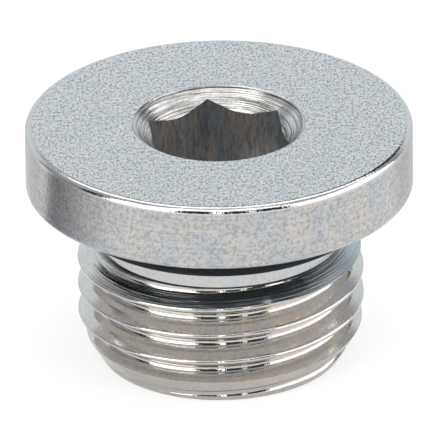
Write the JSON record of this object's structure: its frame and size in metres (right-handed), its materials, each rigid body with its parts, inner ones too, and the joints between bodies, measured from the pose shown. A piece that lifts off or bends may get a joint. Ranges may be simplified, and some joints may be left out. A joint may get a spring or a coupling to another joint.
{
  "type": "hex socket plug",
  "caption": "Round collared screw plug with a hexagon socket, a parallel pipe thread and a black sealing ring under the collar.",
  "frame": {"origin": "centre of the thread end's flat face, which the plug stands on", "axes": "+Z along the axis of turning, from the thread end towards the head; +X and +Y across, with one corner of the socket 38.5 degrees round from +X towards +Y"},
  "size_m": [0.0178, 0.0178, 0.0114],
  "materials": {
    "nickel_plated_brass": "bright nickel plate over turned brass",
    "nitrile_rubber": "smooth moulded rubber"
  },
  "bodies": {
    "root": {"plug_body": "nickel_plated_brass", "o_ring": "nitrile_rubber"}
  },
  "joints": []
}
